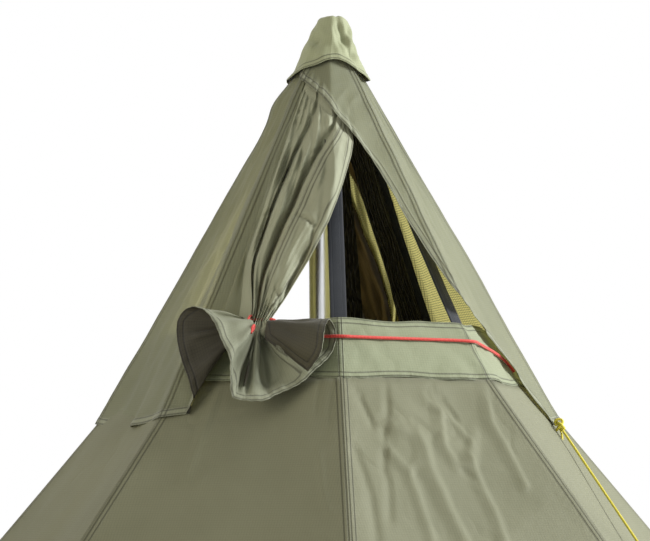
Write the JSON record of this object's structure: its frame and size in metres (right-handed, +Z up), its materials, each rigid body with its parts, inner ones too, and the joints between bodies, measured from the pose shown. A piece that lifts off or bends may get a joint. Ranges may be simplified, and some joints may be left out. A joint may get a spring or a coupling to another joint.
{
  "type": "tipi tent",
  "caption": "Olive green eight-sided centre-pole tipi tent with an open smoke vent, two-part hood, gathered flaps, red vent cords and a zipped door.",
  "frame": {"origin": "on the ground, on the tent's vertical middle axis, at the level of the wall hems and the pole's foot", "axes": "+Z up along the middle axis; -Y is the front, where the pictured vent and the door are; +X to the right of a viewer in front"},
  "size_m": [3.9868, 3.9868, 2.543],
  "materials": {
    "outer_cloth": "coated ripstop",
    "hood_cloth": "coated ripstop",
    "band_cloth": "double-stitched ripstop",
    "cap_cloth": "double-stitched ripstop",
    "grey_webbing": "woven webbing",
    "black_net": "insect net",
    "pole_metal": "polished tube",
    "dark_plastic": "moulded",
    "black_rubber": "matt",
    "steel": "brushed",
    "red_cord": "braided cord",
    "yellow_cord": "braided cord"
  },
  "bodies": {
    "tent": {"pole_upper_tube": "pole_metal", "pole_top_plug": "dark_plastic", "hub_plate": "dark_plastic", "clamp_collar": "dark_plastic", "clamp_pin": "steel", "wall_panel_1": "outer_cloth", "wall_panel_2": "outer_cloth", "wall_panel_3": "outer_cloth", "wall_panel_4": "outer_cloth", "wall_panel_5": "outer_cloth", "wall_panel_6": "outer_cloth", "wall_panel_7": "outer_cloth", "door_wall_left": "outer_cloth", "door_wall_right": "outer_cloth", "door_wall_top": "outer_cloth", "door_zip_chain": "dark_plastic", "door_tieback_strap": "grey_webbing", "door_toggle": "dark_plastic", "vent_band": "band_cloth", "seam_webbing_1": "grey_webbing", "seam_webbing_2": "grey_webbing", "seam_webbing_3": "grey_webbing", "seam_webbing_4": "grey_webbing", "seam_webbing_5": "grey_webbing", "seam_webbing_6": "grey_webbing", "seam_webbing_7": "grey_webbing", "seam_webbing_8": "grey_webbing", "insect_net_back": "black_net", "insect_net_front": "black_net", "hood_right_crown": "hood_cloth", "hood_right_wing": "hood_cloth", "hood_right_side": "hood_cloth", "hood_right_rear": "hood_cloth", "hood_left_crown": "hood_cloth", "hood_left_wing": "hood_cloth", "hood_left_side": "hood_cloth", "hood_left_rear": "hood_cloth", "vent_flap_front_folds": "hood_cloth", "vent_flap_front_tail": "hood_cloth", "vent_flap_back_folds": "hood_cloth", "vent_flap_back_tail": "hood_cloth", "top_cap": "cap_cloth", "vent_cord_front": "red_cord", "vent_cord_back": "red_cord", "guyline_front": "yellow_cord", "guyline_back": "yellow_cord", "guyline_peg_front": "steel", "guyline_peg_back": "steel", "hem_webbing": "grey_webbing"},
    "lower_pole": {"pole_lower_tube": "pole_metal", "pole_foot": "black_rubber"},
    "clamp_lever_body": {"clamp_lever": "dark_plastic"},
    "door": {"door_leaf": "outer_cloth"},
    "slider": {"zip_slider": "steel"},
    "puller": {"zip_puller": "steel"},
    "runner_front": {"guyline_runner_front": "dark_plastic"},
    "runner_back": {"guyline_runner_back": "dark_plastic"}
  },
  "joints": [
    {"name": "door_hinge", "type": "hinge", "parent": "tent", "child": "door", "pos_m": [-1.23476, -1.4121, 0.015], "axis": [-0.4383, -0.4615, -0.7713], "range_deg": [0, 110]},
    {"name": "zip_slide", "type": "slide", "parent": "tent", "child": "slider", "axis": [-0.0143, 0.6438, 0.7651], "range_m": [-0.09, 1.68]},
    {"name": "zip_puller_hinge", "type": "hinge", "parent": "slider", "child": "puller", "pos_m": [-0.13396, -1.80502, 0.103], "axis": [-0.9528, 0.2232, -0.2057], "range_deg": [0, 120]},
    {"name": "pole_slide", "type": "slide", "parent": "tent", "child": "lower_pole", "axis": [0, 0, 1], "range_m": [0, 0.3]},
    {"name": "clamp_lever_hinge", "type": "hinge", "parent": "tent", "child": "clamp_lever_body", "pos_m": [-0.016, -0.034, 1.267], "axis": [-1, 0, 0], "range_deg": [0, 110]},
    {"name": "front_runner_slide", "type": "slide", "parent": "tent", "child": "runner_front", "axis": [-0.3561, 0.6015, 0.7152], "range_m": [-0.3, 0.3]},
    {"name": "back_runner_slide", "type": "slide", "parent": "tent", "child": "runner_back", "axis": [0.3561, -0.6015, 0.7152], "range_m": [-0.3, 0.3]}
  ]
}
